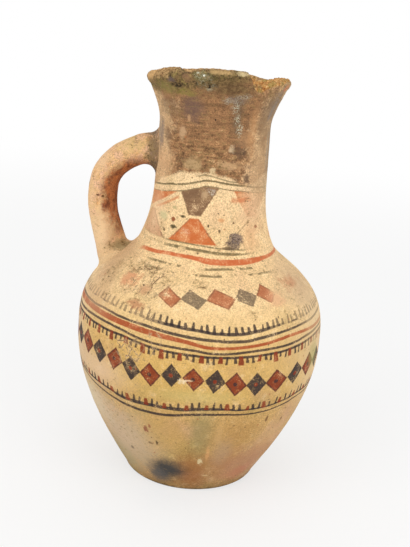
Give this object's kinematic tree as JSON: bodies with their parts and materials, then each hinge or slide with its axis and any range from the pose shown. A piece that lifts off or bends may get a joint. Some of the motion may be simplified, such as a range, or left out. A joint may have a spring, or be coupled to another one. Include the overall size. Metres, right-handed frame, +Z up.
{
  "type": "earthenware jug",
  "caption": "Hand-built earthenware water jug with a bulging painted body, a tall neck, a flared chipped lip and a loop handle from neck to shoulder.",
  "frame": {"origin": "centre of the flat underside of the base, on the jug's upright axis", "axes": "+Z up along the axis, -X towards the handle, -Y towards the front that the painting was made for"},
  "size_m": [0.1857, 0.1854, 0.3107],
  "materials": {
    "base_clay": "fired earthenware, matt and worn",
    "bare_clay": "fired earthenware with a thin smoothed slip",
    "painted_slip": "cream slip on fired earthenware, painted with red and black earth colours",
    "sooty_slip": "slip on fired earthenware, brown with soot and handling",
    "weathered_clay": "fired earthenware, rough, with dry moss and lime",
    "handle_clay": "fired earthenware, smoothed by hand"
  },
  "bodies": {
    "root": {"base_disc": "base_clay", "lower_wall": "bare_clay", "shoulder_wall": "painted_slip", "neck_collar": "sooty_slip", "rim_band": "weathered_clay", "handle_roll": "handle_clay", "handle_neck_fillet": "handle_clay", "handle_shoulder_fillet": "handle_clay"}
  },
  "joints": []
}
